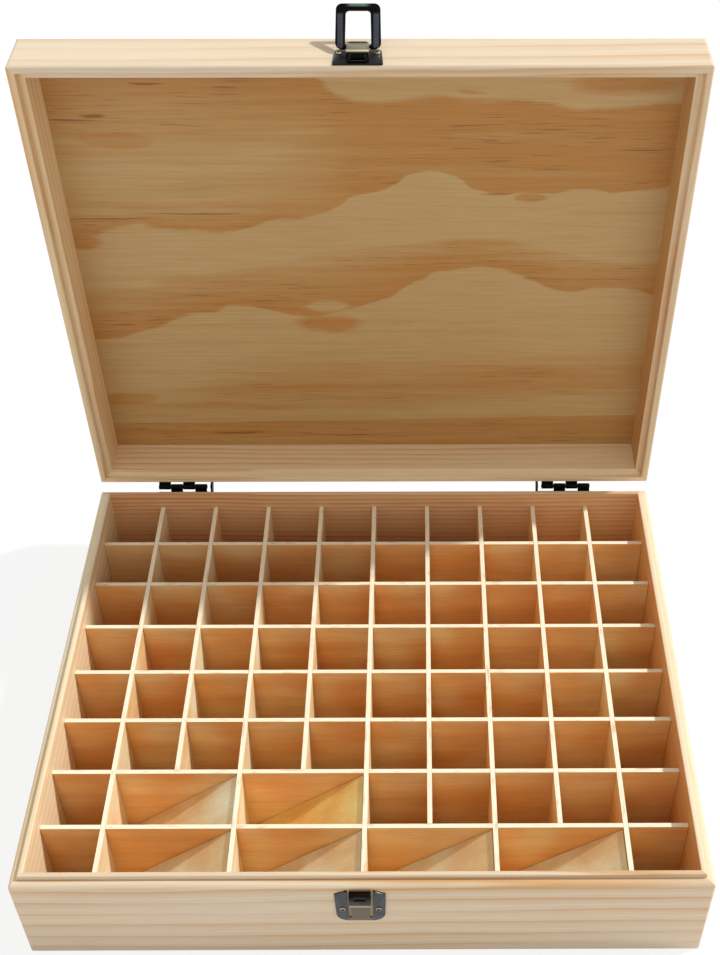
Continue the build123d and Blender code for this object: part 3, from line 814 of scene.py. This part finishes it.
def antiqued(name, face, rubbed, dullness, zones=None):
    """Antiqued metal: dark patina with lighter patches where it has worn."""
    finish = Finish(name)
    place = finish.place()
    patches = finish.ramp(finish.noise(place, *patina_noise), *patina)
    base = finish.mix(patches, face, rubbed)
    if zones:
        base = zones(finish, base)
    least, most = sheen
    rough = finish.noise(place, *sheen_noise)
    rough = finish.ramp(rough, (least, dullness), (most, dullness + patina_spread))
    finish.set(Base_Color=base, Metallic=1.0, Roughness=rough)
    finish.relief(patches, *metal_relief)
    return finish.material


def latch_place(finish):
    """Object coordinates, counted across from the latch's middle."""
    return finish.vector("ADD", finish.place(), (latch_aside, 0, 0))


def latch_parts(finish):
    """How far out from the latch's middle, how deep and how high."""
    parts = finish.parts(latch_place(finish))
    return {
        "out": finish.math("ABSOLUTE", parts["X"]),
        "depth": parts["Y"],
        "height": parts["Z"],
    }


def lever_zones(finish, base):
    """Grey-gold top with a dark far edge; the near edge's highlight and the front's shade are
    painted.
    """
    depth = latch_parts(finish)["depth"]
    base = finish.mix(finish.step(depth, *lever_far_edge), base, tones["lever far edge"])
    # Painted highlight along the near edge
    bright = finish.less(finish.step(depth, *lever_highlight_edge))
    base = finish.mix(bright, base, tones["lever near edge highlight"])
    # Painted shade on the front, which faces away from the key light
    front = finish.less(finish.step(depth, *lever_shaded_front))
    return finish.mix(front, base, tones["lever front shade"])


def plate_zones(finish, base):
    """Nearly black, with blue-grey ears that are a painted highlight."""
    latch = latch_parts(finish)
    out = finish.step(latch["out"], *plate_ears_out)
    # Blue-grey ears: painted highlight
    ears = finish.both(out, finish.step(latch["depth"], *plate_ears_back))
    return finish.mix(ears, base, tones["plate ears highlight"])


def bail_zones(finish, base):
    """Legs in the bail's own colour, painted shade round them and on the bar, a painted highlight
    on the bar's crest and a brown patch under it.
    """
    latch = latch_parts(finish)
    out, height = latch["out"], latch["height"]
    from_leg = finish.math("ABSOLUTE", finish.math("SUBTRACT", out, bail_leg))
    # Painted shade on the legs' sides and over the bar
    base = finish.mix(finish.step(from_leg, *bail_leg_sides), base, tones["bail"])
    base = finish.mix(finish.step(height, *bail_head), base, tones["bail"])
    # Painted highlight on the middle of the bar's crest
    middle = finish.less(finish.step(out, *bail_middle))
    crest = finish.both(middle, finish.step(height, *bail_crest_highlight))
    base = finish.mix(crest, base, tones["bail crest highlight"])
    foot = finish.both(
        finish.less(finish.step(height, *bail_foot_end)), finish.step(height, *bail_foot_start)
    )
    return finish.mix(finish.both(foot, middle), base, tones["bail foot"])


def strike_zones(finish, base):
    """Ears in the strike's own colour, between them a hook, its lip, a pad and a slot; the lip's
    brightness is a painted highlight, and the dark hook, slot and top are painted shade.
    """
    latch = latch_parts(finish)
    out, height = latch["out"], latch["height"]
    hook = finish.step(height, *strike_hook)
    # The hook's dark is painted shade
    middle = finish.mix(hook, tones["strike pad"], tones["strike hook shade"])
    lip = finish.math("SUBTRACT", finish.step(height, *strike_lip), hook)
    # The lip's brightness is a painted highlight
    middle = finish.mix(lip, middle, tones["strike lip highlight"])
    # Painted shade in the slot
    middle = finish.mix(finish.step(height, *strike_slot), middle, tones["strike slot shade"])
    base = finish.mix(finish.less(finish.step(out, *strike_ears)), base, middle)
    # Painted shade on the top
    return finish.mix(finish.step(height, *strike_top), base, tones["strike top shade"])


def nail_zones(order, middle):
    """A dark spot in the middle of two nails' heads."""

    def zones(finish, base):
        place = finish.vector("ABSOLUTE", finish.swap(latch_place(finish), order))
        spot = finish.patch(place, middle, (nail_spot, nail_spot), nail_spot_edge)
        return finish.mix(spot, base, tones["nail"])

    return zones


def plain_metal(name, face, dullness):
    """Bare metal, where the antiquing has rubbed off."""
    finish = Finish(name)
    tone = finish.noise(finish.place(), *bare_noise)
    darker = [bare_dark_share * part for part in face]
    finish.set(Base_Color=finish.mix(tone, darker, face), Metallic=1.0, Roughness=dullness)
    return finish.material


# Pieces

merge_distance = 0.001 * mm
flat_angle = math.radians(1)
edge_angle = math.radians(35)
edge_segments = 2

# Rounder than the rest, in edge widths
bail_edges = 3
nail_edges = 2


def deselect():
    for piece in bpy.context.view_layer.objects:
        piece.select_set(False)


def paint(name, material):
    """Give a CAD node's own object one material."""
    slots = nodes[name].data.materials
    slots.clear()
    slots.append(material)


def refined(name, body, slot, face, worn, width):
    """A copy of a CAD node with merged faces and rounded edges in a second finish: rubbed metal on
    most parts and black on the bail, as painted shade.
    """
    deselect()
    piece = nodes[name].copy()
    piece.data = nodes[name].data.copy()
    piece.name = name + "_finished"
    piece.parent = None
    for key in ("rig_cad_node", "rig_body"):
        if key in piece:
            del piece[key]
    bpy.context.scene.collection.objects.link(piece)
    bpy.context.view_layer.objects.active = piece
    piece.select_set(True)
    bpy.ops.object.mode_set(mode="EDIT")
    bpy.ops.mesh.select_all(action="SELECT")
    bpy.ops.mesh.remove_doubles(threshold=merge_distance)
    bpy.ops.mesh.dissolve_limited(angle_limit=flat_angle)
    bpy.ops.mesh.select_all(action="SELECT")
    bpy.ops.mesh.normals_make_consistent(inside=False)
    bpy.ops.object.mode_set(mode="OBJECT")
    piece.data.materials.clear()
    piece.data.materials.append(face)
    piece.data.materials.append(worn)
    bevel = piece.modifiers.new("edges", "BEVEL")
    bevel.width = width
    bevel.segments = edge_segments
    bevel.limit_method = "ANGLE"
    bevel.angle_limit = edge_angle
    bevel.material = 1
    bevel.use_clamp_overlap = True
    bpy.ops.object.modifier_apply(modifier=bevel.name)
    bpy.ops.object.shade_smooth_by_angle(angle=edge_angle)
    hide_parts(name)
    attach(piece, body)


def seen_rays(tree):
    """1 for what the camera sees, also by way of a mirror or glass, and 0 for light on a piece."""
    rays = tree.nodes.new("ShaderNodeLightPath").outputs
    seen = rays["Is Camera Ray"]
    for kind in ("Is Glossy Ray", "Is Transmission Ray"):
        either = tree.nodes.new("ShaderNodeMath")
        either.operation = "MAXIMUM"
        tree.links.new(seen, either.inputs[0])
        tree.links.new(rays[kind], either.inputs[1])
        seen = either.outputs[0]
    return seen


class OILBOX_OT_boards(bpy.types.Operator):
    """Finish the pine boards of the box and the lid"""

    bl_idname = "oilbox.boards"
    bl_label = "Pine boards"

    def execute(self, context):
        settings = context.scene.oilbox_pine
        # Middle of the rings, across and through the board, and how much higher it is in the lid
        lid_heart = 31 * mm
        hearts = {
            "front": (-340 * mm, 110 * mm),
            "back": (-300 * mm, -120 * mm),
            "left": (-320 * mm, 90 * mm),
            "right": (-360 * mm, -60 * mm),
        }
        # Each board's tone (partly painted light and shade), that of its face towards the inside
        # (painted shade and bounced light), width of the rings, contrast
        boards = {
            "base_front": ((0.92, 0.9, 0.89), (1.0, 0.8, 0.6), 0.9, 1.6),
            "base_back": ((1.0, 0.92, 0.78), (1.12, 0.93, 0.74), 0.3, 3.0),
            "base_left": ((1.08, 1.12, 1.1), (1.03, 0.97, 0.9), 0.6, 1.4),
            "base_right": ((1.04, 1.0, 0.95), (0.92, 0.56, 0.27), 0.6, 1.4),
            "lid_front": ((0.93, 0.93, 0.94), (0.9, 0.75, 0.55), 0.9, 1.4),
            "lid_back": ((1.12, 1.1, 1.0), (1.03, 0.98, 0.95), 0.4, 1.5),
            "lid_left": ((1.0, 0.95, 0.82), (1.06, 1.0, 0.92), 0.5, 2.3),
            "lid_right": ((0.92, 0.84, 0.72), (0.8, 0.62, 0.36), 0.5, 2.6),
        }
        for board, look in boards.items():
            body, side = board.split("_")
            across, through = hearts[side]
            order = "XZY" if side in ("front", "back") else "YZX"
            lid = body == "lid"
            heart = (across + (lid_heart if lid else 0), through)
            paint(board + "_wall", pine("pine_" + board, settings, order, heart, lid, *look))
        return {"FINISHED"}


class OILBOX_OT_panels(bpy.types.Operator):
    """Finish the plywood panels of the lid and the floor"""

    bl_idname = "oilbox.panels"
    bl_label = "Panels"

    def execute(self, context):
        settings = context.scene.oilbox_plywood
        paint("lid_panel", lid_plywood(settings))
        floor = cut_plywood("floor_plywood", settings.panel_pale, None, "XYZ")
        paint("base_floor_panel", floor)
        return {"FINISHED"}


class OILBOX_OT_dividers(bpy.types.Operator):
    """Finish the dividers"""

    bl_idname = "oilbox.dividers"
    bl_label = "Dividers"

    def execute(self, context):
        settings = context.scene.oilbox_plywood
        red, pale, edge = settings.shaded_divider_colour, settings.lit_divider_colour, settings.divider_edge
        # The redder copy on the cross dividers and on the long dividers' left faces is painted
        # shade, and the pale copy is painted sunlight
        materials = {
            "long_divider_": cut_plywood("long_divider_plywood", pale, edge, "YZX", red),
            "cross_divider_": cut_plywood("cross_divider_plywood", red, edge, "XZY"),
        }
        for start, material in materials.items():
            for name in nodes:
                if name.startswith(start):
                    paint(name, material)
        return {"FINISHED"}


class OILBOX_OT_ramps(bpy.types.Operator):
    """Finish the ramps"""

    bl_idname = "oilbox.ramps"
    bl_label = "Ramps"

    def execute(self, context):
        settings = context.scene.oilbox_plywood
        plain = cut_plywood("ramp_plywood", settings.ramp_face, None, "XYZ")
        golden = cut_plywood("golden_ramp_plywood", settings.golden_ramp, None, "XYZ")
        for name in nodes:
            if name.startswith("ramp_"):
                paint(name, golden if name == "ramp_2" else plain)
        return {"FINISHED"}


class OILBOX_OT_metal(bpy.types.Operator):
    """Finish the latch and the hinges, with rounded edges: rubbed on most parts, black on the bail
    as painted shade
    """

    bl_idname = "oilbox.metal"
    bl_label = "Latch and hinges"

    def execute(self, context):
        settings = context.scene.oilbox_metal
        edge = settings.edge
        black = [black_share * part for part in settings.bronze]
        brass = antiqued("antique_brass", settings.brass, settings.rubbed, brass_dullness)
        bronze = antiqued("dark_bronze", black, settings.bronze, bronze_dullness)
        rubbed = plain_metal("rubbed_brass", settings.rubbed, rubbed_dullness)
        dull = plain_metal("rubbed_bronze", settings.bronze, bronze_dullness)
        # Black for the bail's rounded edges: painted shade
        dark = plain_metal("bail_edge", black, bronze_dullness)
        # Name of the finish, colours of face and worn patches, roughness and zones
        patinas = {
            "latch_plate": (
                "plate_patina", settings.bronze, settings.brass, brass_dullness, plate_zones,
            ),
            "latch_lever": (
                "lever_patina", settings.lever, settings.rubbed, brass_dullness, lever_zones,
            ),
            "latch_bail": (
                "bail_patina", settings.bail, settings.bronze, bronze_dullness, bail_zones,
            ),
            "latch_strike": (
                "strike_patina", settings.ears, settings.bronze, brass_dullness, strike_zones,
            ),
            "latch_strike_nails": (
                "strike_nail", settings.rubbed, settings.brass, nail_dullness,
                nail_zones(*strike_nails),
            ),
            "latch_plate_nails": (
                "plate_nail", settings.rubbed, settings.brass, nail_dullness,
                nail_zones(*plate_nails),
            ),
        }
        # Edge finish and its width: rubbed where worn, black on the bail as painted shade
        edges = {
            "latch_plate": (dull, edge),
            "latch_lever": (rubbed, edge),
            "latch_bail": (dark, bail_edges * edge),
            "latch_strike": (dull, edge),
            "latch_strike_nails": (rubbed, nail_edges * edge),
            "latch_plate_nails": (rubbed, nail_edges * edge),
        }
        finishes = {name: (antiqued(*patinas[name]), *edges[name]) for name in patinas}
        by_slot = {"antique_brass": (brass, rubbed, edge), "dark_bronze": (bronze, dull, edge)}
        bodies = frame["record"]["behaviour"]["bodies"]
        slots = {part["node"]: part["material_slot"] for part in frame["record"]["subparts"]}
        for body, members in bodies.items():
            for name in members:
                slot = slots[name]
                if slot in by_slot:
                    refined(name, body, slot, *finishes.get(name, by_slot[slot]))
        return {"FINISHED"}


# Floor, sun and picture. The sun's course is its ray's direction seen from above.

floor_size = 12
floor_drop = 0.2 * mm
floor_colour = (0.93, 0.93, 0.93)
floor_dullness = 0.9
floor_white_share = 0.82
sun_height = math.radians(47.7)
sun_course = (-0.944, -0.33)
sun_width = math.radians(3)
picture_width = 720
picture_height = 955
sensor_width = 36
nearest_seen = 0.01


class OILBOX_OT_stage(bpy.types.Operator):
    """Set up the floor, the lights and the camera"""

    bl_idname = "oilbox.stage"
    bl_label = "Stage"

    def execute(self, context):
        settings = context.scene.oilbox_stage
        scene = context.scene
        scene.view_settings.view_transform = "Standard"

        deselect()
        bpy.ops.mesh.primitive_plane_add(size=floor_size, location=(0, 0, -floor_drop))
        floor = context.active_object
        floor.name = "floor"
        finish = Finish("floor")
        finish.set(Base_Color=(*floor_colour, 1), Roughness=floor_dullness)
        # Seen by the camera it is partly plain white, so that the shadow on it stays pale
        white = finish.add("ShaderNodeEmission").outputs[0]
        whiter = finish.add("ShaderNodeMixShader")
        share = finish.math("MULTIPLY", seen_rays(finish.tree), floor_white_share)
        finish.feed(whiter.inputs[0], share)
        finish.feed(whiter.inputs[1], finish.shader.outputs[0])
        finish.feed(whiter.inputs[2], white)
        finish.feed(finish.tree.nodes["Material Output"].inputs["Surface"], whiter.outputs[0])
        floor.data.materials.append(finish.material)

        world = scene.world or bpy.data.worlds.new("World")
        scene.world = world
        world.use_nodes = True
        tree = world.node_tree
        background = tree.nodes["Background"]
        background.inputs["Color"].default_value = (1, 1, 1, 1)
        level = tree.nodes.new("ShaderNodeMapRange")
        tree.links.new(seen_rays(tree), level.inputs["Value"])
        level.inputs["To Min"].default_value = settings.fill_strength
        level.inputs["To Max"].default_value = 1.0
        tree.links.new(level.outputs[0], background.inputs["Strength"])

        bpy.ops.object.light_add(type="SUN")
        sun = context.active_object
        sun.name = "key_light"
        sun.data.energy = settings.sun_strength
        sun.data.angle = sun_width
        across = math.cos(sun_height)
        ray = Vector((sun_course[0] * across, sun_course[1] * across, -math.sin(sun_height)))
        sun.rotation_euler = ray.to_track_quat("-Z", "Y").to_euler()

        bpy.ops.object.camera_add()
        camera = context.active_object
        camera.name = "camera"
        camera.data.sensor_fit = "AUTO"
        camera.data.sensor_width = sensor_width
        camera.data.lens = settings.focal_pixels / picture_height * sensor_width
        camera.data.shift_x = (picture_width / 2 - settings.centre_x) / picture_height
        camera.data.shift_y = (settings.centre_y - picture_height / 2) / picture_height
        camera.data.clip_start = nearest_seen
        look = Matrix.Rotation(-settings.yaw, 3, "Z")
        look = look @ Matrix.Rotation(math.pi / 2 - settings.pitch, 3, "X")
        look = look @ Matrix.Rotation(settings.roll, 3, "Z")
        camera.rotation_euler = look.to_euler()
        camera.location = settings.place
        scene.camera = camera
        return {"FINISHED"}


operators = (
    OILBOX_OT_boards,
    OILBOX_OT_panels,
    OILBOX_OT_dividers,
    OILBOX_OT_ramps,
    OILBOX_OT_metal,
    OILBOX_OT_stage,
)
groups = {
    "oilbox_pine": PineProperties,
    "oilbox_plywood": PlywoodProperties,
    "oilbox_metal": MetalProperties,
    "oilbox_stage": StageProperties,
}


class OILBOX_PT_panel(bpy.types.Panel):
    """Lists the sizes, the colours and the steps"""

    bl_idname = "OILBOX_PT_panel"
    bl_label = "Oil box"
    bl_space_type = "VIEW_3D"
    bl_region_type = "UI"
    bl_category = "Oil box"

    def draw(self, context):
        for name in groups:
            settings = getattr(context.scene, name)
            box = self.layout.box()
            for key in settings.bl_rna.properties.keys():
                if key not in ("name", "rna_type"):
                    box.prop(settings, key)
        for operator in operators:
            self.layout.operator(operator.bl_idname)


def register():
    for group in groups.values():
        bpy.utils.register_class(group)
    for operator in operators:
        bpy.utils.register_class(operator)
    bpy.utils.register_class(OILBOX_PT_panel)
    for name, group in groups.items():
        setattr(bpy.types.Scene, name, bpy.props.PointerProperty(type=group))


def unregister():
    for name in groups:
        delattr(bpy.types.Scene, name)
    bpy.utils.unregister_class(OILBOX_PT_panel)
    for operator in reversed(operators):
        bpy.utils.unregister_class(operator)
    for group in groups.values():
        bpy.utils.unregister_class(group)


def main():
    register()
    bpy.ops.oilbox.boards()
    bpy.ops.oilbox.panels()
    bpy.ops.oilbox.dividers()
    bpy.ops.oilbox.ramps()
    bpy.ops.oilbox.metal()
    bpy.ops.oilbox.stage()


if __name__ == "__main__":
    main()
